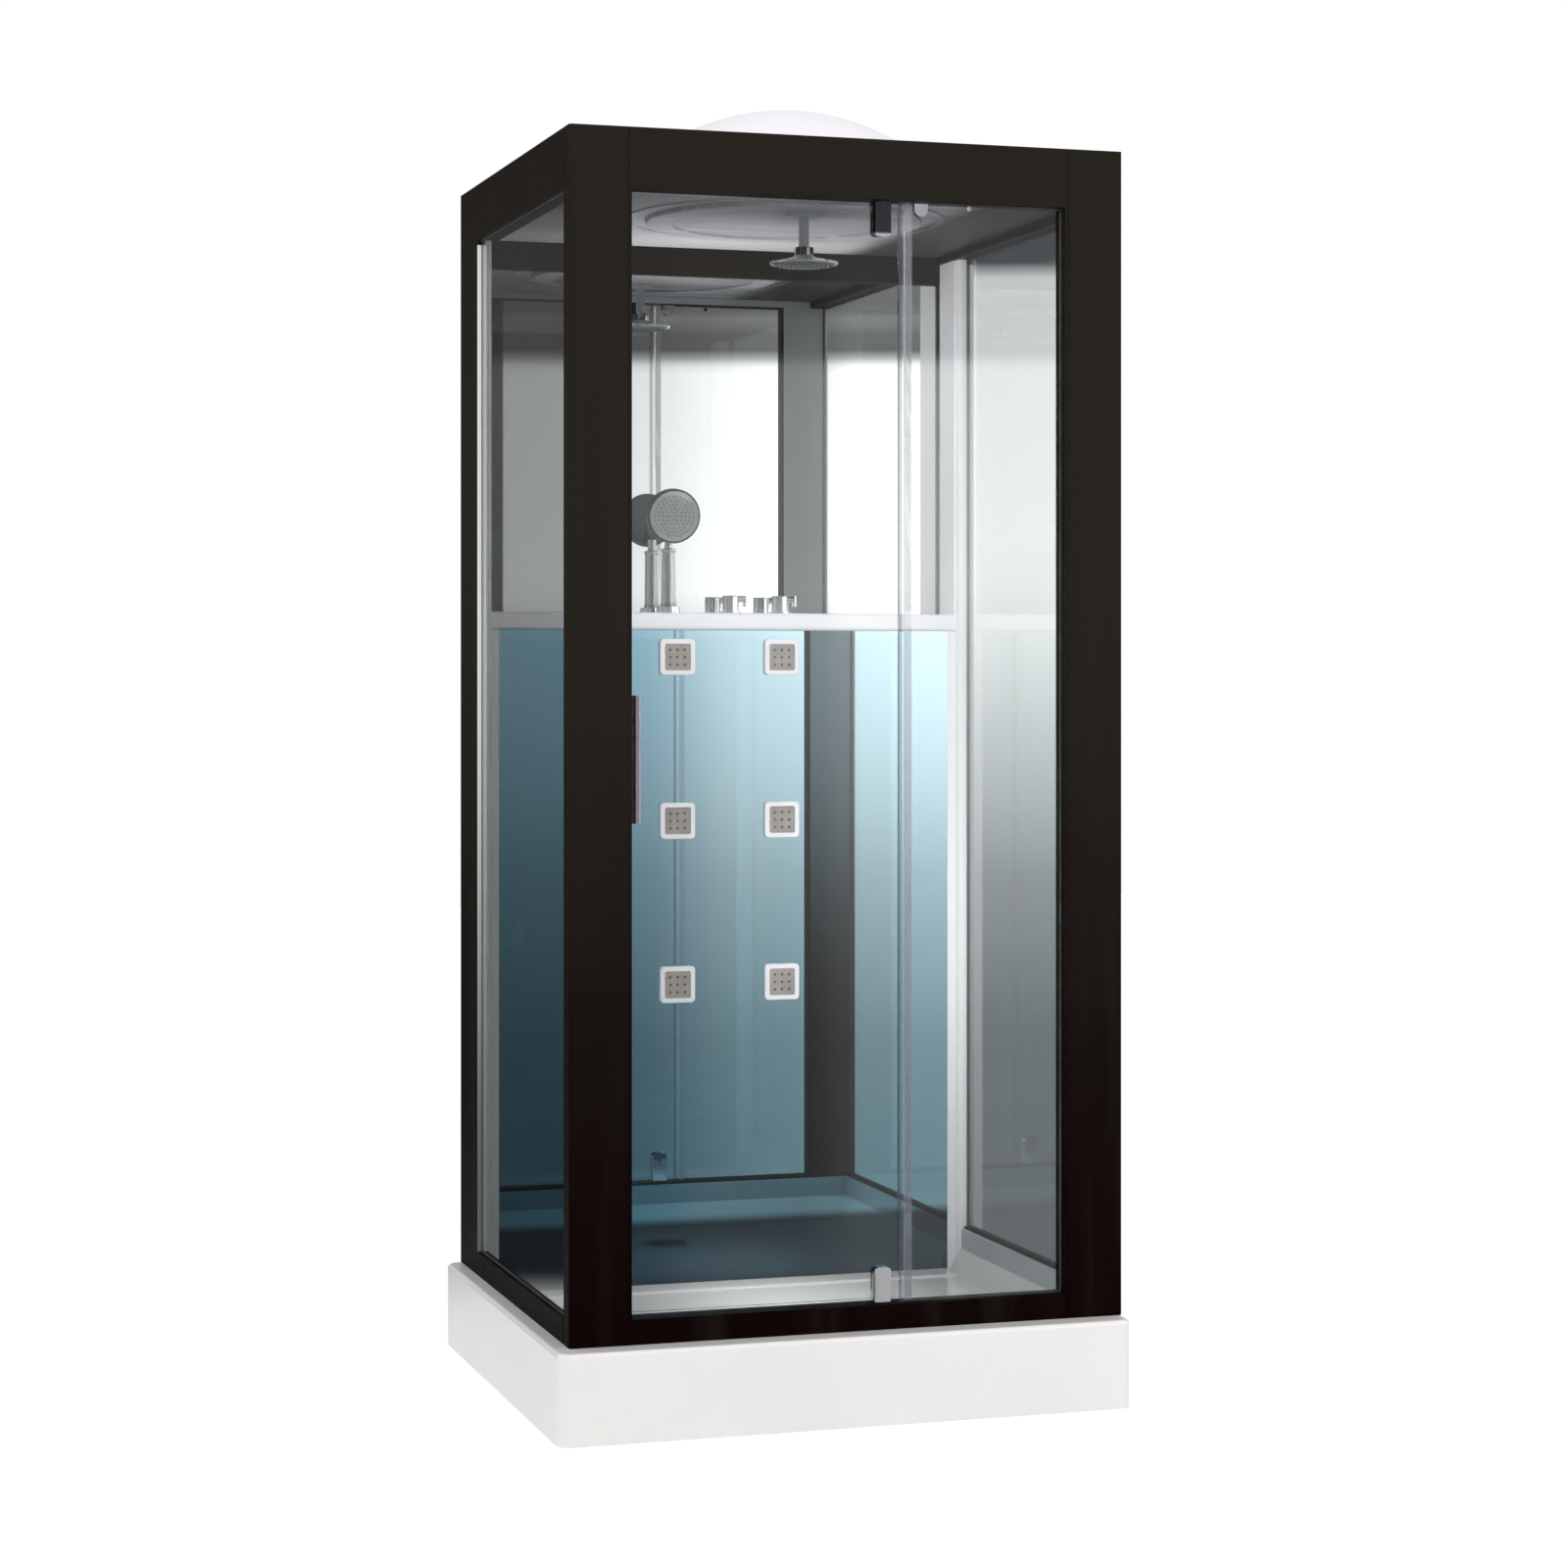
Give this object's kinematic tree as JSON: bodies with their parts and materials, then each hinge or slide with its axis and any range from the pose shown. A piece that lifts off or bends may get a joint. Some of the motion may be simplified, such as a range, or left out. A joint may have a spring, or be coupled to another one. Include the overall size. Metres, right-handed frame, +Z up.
{
  "type": "shower cabin",
  "caption": "Framed glass shower cabin with a pivot door, moulded tray, mirrored rear unit with body jets and shelf, hand shower, overhead shower and domed roof.",
  "frame": {"origin": "centre of the tray's footprint, on the floor", "axes": "+Z up; the front with the door faces -Y; +X runs along the front from the door's free edge to the fixed pane"},
  "size_m": [1, 0.9, 2.243],
  "materials": {
    "white_acrylic": "glossy",
    "white_plastic": "glossy",
    "white_trim": "satin",
    "grey_trim": "satin",
    "frame_paint": "satin dark brown",
    "clear_glass": "clear",
    "blue_mirror_glass": "tinted and silvered behind",
    "mirror_glass": "polished",
    "chrome": "polished",
    "steel": "brushed",
    "zinc_steel": "zinc plated",
    "brass": "cast",
    "black_rubber": "matte",
    "grey_rubber": "matte",
    "pale_seal": "translucent grey",
    "black_plastic": "matte",
    "grey_plastic": "matte",
    "opal": "opal",
    "grip_metal": "satin"
  },
  "bodies": {
    "cabin": {"tray": "white_acrylic", "tray_support_frame": "zinc_steel", "levelling_feet": "black_plastic", "waste_trap": "grey_plastic", "front_post_left": "frame_paint", "front_post_right": "frame_paint", "front_beam": "frame_paint", "front_rail": "frame_paint", "side_beams": "frame_paint", "side_rails": "frame_paint", "rear_side_panels": "frame_paint", "rear_header": "frame_paint", "glazing_beads": "frame_paint", "side_pane_left": "clear_glass", "side_pane_right": "clear_glass", "fixed_pane": "clear_glass", "glazing_gaskets": "black_rubber", "pane_edge_seal": "pale_seal", "pane_fixings": "chrome", "corner_profiles": "white_trim", "console_trims": "white_trim", "blue_panel": "blue_mirror_glass", "jet_bezels": "white_plastic", "jet_faces": "grey_rubber", "jet_bodies": "grey_plastic", "manifold": "grey_plastic", "valve_block": "brass", "supply_pipes": "brass", "overhead_feed": "grey_plastic", "shelf": "white_acrylic", "niche_cheeks": "grey_trim", "niche_mirror": "mirror_glass", "rear_cladding": "grey_trim", "escutcheons": "chrome", "hand_shower_socket": "chrome", "roof_panel": "white_plastic", "roof_dome": "white_plastic", "ceiling_ring": "grey_trim", "light_diffuser": "opal", "overhead_stub": "chrome", "hinge_bushes": "black_plastic"},
    "door": {"door_pane": "clear_glass", "hinge_blocks": "chrome", "hinge_plates": "chrome", "hinge_pins": "steel", "door_screws": "steel", "door_grip_outer": "grip_metal", "door_grip_inner": "grip_metal", "door_latch_seal": "pale_seal", "door_drip_seal": "pale_seal"},
    "mixer_knob": {"mixer_lever": "chrome"},
    "diverter_knob": {"diverter_lever": "chrome"},
    "swivel_collar": {"hand_shower_collar": "chrome"},
    "hand_shower": {"hand_shower_handle": "chrome", "hand_shower_head": "chrome", "hand_shower_spray": "grey_rubber"},
    "overhead_rose": {"overhead_shower": "chrome", "overhead_spray": "grey_rubber"},
    "drain_lid": {"waste_cover": "chrome"}
  },
  "joints": [
    {"name": "door_swing", "type": "hinge", "parent": "cabin", "child": "door", "pos_m": [0.07, -0.381, 1.1], "axis": [0, 0, 1], "range_deg": [0, 90]},
    {"name": "mixer_turn", "type": "hinge", "parent": "cabin", "child": "mixer_knob", "pos_m": [0.027, 0.358, 1.37], "axis": [0, 0, 1], "range_deg": [-45, 45]},
    {"name": "diverter_turn", "type": "hinge", "parent": "cabin", "child": "diverter_knob", "pos_m": [0.124, 0.358, 1.37], "axis": [0, 0, 1], "range_deg": [-60, 60]},
    {"name": "hand_shower_swivel", "type": "hinge", "parent": "cabin", "child": "swivel_collar", "pos_m": [-0.0946, 0.358, 1.35], "axis": [0, 0, 1], "range_deg": [-80, 80]},
    {"name": "hand_shower_lift", "type": "slide", "parent": "swivel_collar", "child": "hand_shower", "axis": [0, 0, 1], "range_m": [0, 0.2]},
    {"name": "overhead_tilt", "type": "hinge", "parent": "cabin", "child": "overhead_rose", "pos_m": [0.014, -0.133, 1.985], "axis": [1, 0, 0], "range_deg": [-15, 15]},
    {"name": "waste_cover_lift", "type": "slide", "parent": "cabin", "child": "drain_lid", "axis": [0, 0, 1], "range_m": [0, 0.04]}
  ]
}
